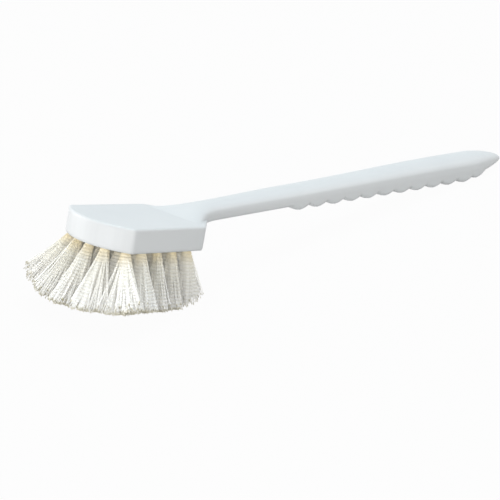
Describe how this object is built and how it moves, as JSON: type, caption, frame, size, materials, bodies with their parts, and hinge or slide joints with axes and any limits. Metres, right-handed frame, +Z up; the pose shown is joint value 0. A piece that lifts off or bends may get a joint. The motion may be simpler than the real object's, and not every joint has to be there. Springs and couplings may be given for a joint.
{
  "type": "long-handled scrub brush",
  "caption": "White moulded scrub brush with a bowed-front block, a long handle with finger scallops underneath, and flared cream bristle tufts set in drilled holes.",
  "frame": {"origin": "middle of the bounding box at the surface that the brush lies on, bristles down, on its rear bristles and its grip", "axes": "+X from the bowed front of the block towards the handle's end, +Z up from that surface; the block's top face is tilted, its front end the higher"},
  "size_m": [0.5382, 0.128, 0.0804],
  "materials": {
    "white_plastic": "satin moulded white polypropylene",
    "bristle": "crimped off-white synthetic filament",
    "flat_wire": "bright flat wire"
  },
  "bodies": {
    "root": {"block_and_handle": "white_plastic", "tuft_row1_1": "bristle", "tuft_row1_2": "bristle", "tuft_row1_3": "bristle", "tuft_row1_4": "bristle", "tuft_row1_5": "bristle", "tuft_row2_1": "bristle", "tuft_row2_2": "bristle", "tuft_row2_3": "bristle", "tuft_row2_4": "bristle", "tuft_row2_5": "bristle", "tuft_row2_6": "bristle", "tuft_row3_1": "bristle", "tuft_row3_2": "bristle", "tuft_row3_3": "bristle", "tuft_row3_4": "bristle", "tuft_row3_5": "bristle", "tuft_row3_6": "bristle", "tuft_row4_1": "bristle", "tuft_row4_2": "bristle", "tuft_row4_3": "bristle", "tuft_row4_4": "bristle", "tuft_row4_5": "bristle", "tuft_row4_6": "bristle", "tuft_row5_1": "bristle", "tuft_row5_2": "bristle", "tuft_row5_3": "bristle", "tuft_row5_4": "bristle", "tuft_row5_5": "bristle", "anchor_row1_1": "flat_wire", "anchor_row1_2": "flat_wire", "anchor_row1_3": "flat_wire", "anchor_row1_4": "flat_wire", "anchor_row1_5": "flat_wire", "anchor_row2_1": "flat_wire", "anchor_row2_2": "flat_wire", "anchor_row2_3": "flat_wire", "anchor_row2_4": "flat_wire", "anchor_row2_5": "flat_wire", "anchor_row2_6": "flat_wire", "anchor_row3_1": "flat_wire", "anchor_row3_2": "flat_wire", "anchor_row3_3": "flat_wire", "anchor_row3_4": "flat_wire", "anchor_row3_5": "flat_wire", "anchor_row3_6": "flat_wire", "anchor_row4_1": "flat_wire", "anchor_row4_2": "flat_wire", "anchor_row4_3": "flat_wire", "anchor_row4_4": "flat_wire", "anchor_row4_5": "flat_wire", "anchor_row4_6": "flat_wire", "anchor_row5_1": "flat_wire", "anchor_row5_2": "flat_wire", "anchor_row5_3": "flat_wire", "anchor_row5_4": "flat_wire", "anchor_row5_5": "flat_wire"}
  },
  "joints": []
}
